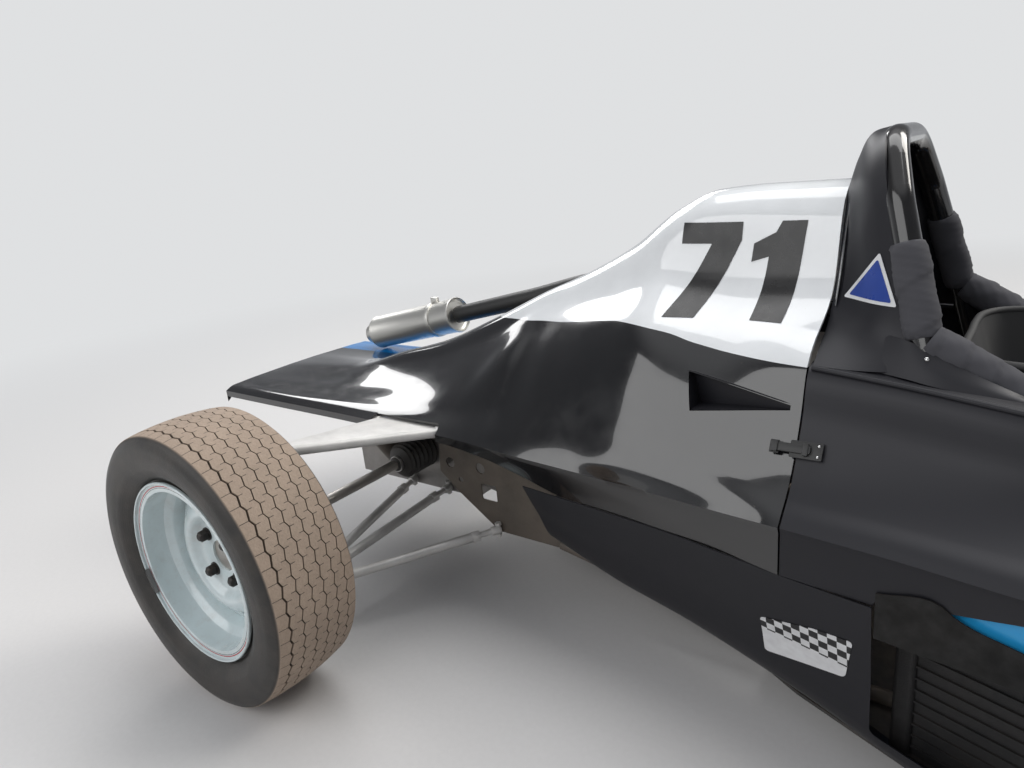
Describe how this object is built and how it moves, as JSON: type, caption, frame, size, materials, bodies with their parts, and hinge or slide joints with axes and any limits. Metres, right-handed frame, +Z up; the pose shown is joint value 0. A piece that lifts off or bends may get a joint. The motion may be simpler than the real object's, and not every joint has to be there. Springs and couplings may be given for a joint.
{
  "type": "open wheel racing car",
  "caption": "Single seater racing car with exposed treaded tyres, coil sprung suspension, roll hoop, side radiators and a lift-off engine cover.",
  "frame": {"origin": "on the ground, on the centreline, at the middle of the overall length", "axes": "+X to the nose, +Y to the left side, +Z up"},
  "size_m": [3.85, 1.5718, 0.9499],
  "materials": {
    "body_black": "gloss black with clear coat, white upper panel",
    "floor_sheet": "scuffed grey black sheet",
    "matt_black": "matt black sheet",
    "frame_paint": "grey brown paint, dusty",
    "gloss_tube": "gloss black tube",
    "tape": "black tape wound over foam",
    "seat_shell": "moulded black shell",
    "screen": "smoked clear sheet",
    "latch_plate": "black plated steel",
    "bare_steel": "bare steel, light rust",
    "cast_metal": "sand cast alloy, dusty",
    "pipe_black": "heat resistant black",
    "stainless": "polished stainless",
    "radiator_black": "matt black fins and tanks",
    "duct_blue": "bright azure gloss",
    "bright_plate": "bright nickel plate",
    "grip": "black suede on an alloy centre",
    "tyre_rubber": "black sidewall, dusty brown tread",
    "wheel_enamel": "white enamel, pale blue cast, rust marks"
  },
  "bodies": {
    "root": {"chassis_frame": "frame_paint", "cockpit_panels": "matt_black", "cockpit_surround": "body_black", "cover_latches": "latch_plate", "dashboard": "matt_black", "engine_block": "cast_metal", "engine_cover": "body_black", "exhaust_pipe": "pipe_black", "frame_plates": "frame_paint", "front_arms": "bright_plate", "front_pushrods": "bright_plate", "gear_lever": "bare_steel", "gearbox": "cast_metal", "hoop_fairing": "body_black", "hoop_stays": "tape", "mirrors": "matt_black", "nose_cone": "body_black", "pedals": "bare_steel", "rack_housing": "cast_metal", "radiator_ducts": "duct_blue", "radiators": "radiator_black", "rear_dampers": "frame_paint", "rear_left_upright": "cast_metal", "rear_lower_arms": "bright_plate", "rear_right_upright": "cast_metal", "rear_upper_arms": "bright_plate", "roll_hoop": "gloss_tube", "scuttle": "body_black", "seat": "seat_shell", "side_pods": "body_black", "silencer": "stainless", "undertray": "floor_sheet", "windscreen": "screen"},
    "steering_wheel": {"steering_wheel": "grip"},
    "steering_rack": {"track_rods": "bright_plate"},
    "front_left_knuckle": {"front_left_upright": "cast_metal"},
    "front_right_knuckle": {"front_right_upright": "cast_metal"},
    "front_left_wheel": {"front_left_tyre": "tyre_rubber", "front_left_rim": "wheel_enamel", "front_left_hub": "bare_steel"},
    "front_right_wheel": {"front_right_tyre": "tyre_rubber", "front_right_rim": "wheel_enamel", "front_right_hub": "bare_steel"},
    "rear_left_wheel": {"rear_left_tyre": "tyre_rubber", "rear_left_rim": "wheel_enamel", "rear_left_hub": "bare_steel"},
    "rear_right_wheel": {"rear_right_tyre": "tyre_rubber", "rear_right_rim": "wheel_enamel", "rear_right_hub": "bare_steel"}
  },
  "joints": [
    {"name": "steering", "type": "hinge", "parent": "root", "child": "steering_wheel", "pos_m": [0.285, 0, 0.505], "axis": [-0.965, 0, 0.2623], "range_deg": [-150, 150]},
    {"name": "rack_slide", "type": "slide", "parent": "root", "child": "steering_rack", "axis": [0, 1, 0], "range_m": [-0.032, 0.032]},
    {"name": "front_left_steer", "type": "hinge", "parent": "root", "child": "front_left_knuckle", "pos_m": [1.125, 0.584, 0.268], "axis": [0, 0, 1], "range_deg": [-18.5, 18.5]},
    {"name": "front_left_spin", "type": "hinge", "parent": "front_left_knuckle", "child": "front_left_wheel", "pos_m": [1.125, 0.7, 0.268], "axis": [0, 1, 0], "continuous": true},
    {"name": "front_right_steer", "type": "hinge", "parent": "root", "child": "front_right_knuckle", "pos_m": [1.125, -0.584, 0.268], "axis": [0, 0, 1], "range_deg": [-18.5, 18.5]},
    {"name": "front_right_spin", "type": "hinge", "parent": "front_right_knuckle", "child": "front_right_wheel", "pos_m": [1.125, -0.7, 0.268], "axis": [0, 1, 0], "continuous": true},
    {"name": "rear_left_spin", "type": "hinge", "parent": "root", "child": "rear_left_wheel", "pos_m": [-1.325, 0.6925, 0.28], "axis": [0, 1, 0], "continuous": true},
    {"name": "rear_right_spin", "type": "hinge", "parent": "root", "child": "rear_right_wheel", "pos_m": [-1.325, -0.6925, 0.28], "axis": [0, 1, 0], "continuous": true}
  ],
  "couplings": [
    {"joint": "front_left_steer", "follows": "steering", "ratio": 0.12},
    {"joint": "front_right_steer", "follows": "steering", "ratio": 0.12},
    {"joint": "rack_slide", "follows": "steering", "m_per_rad": 0.011804}
  ]
}
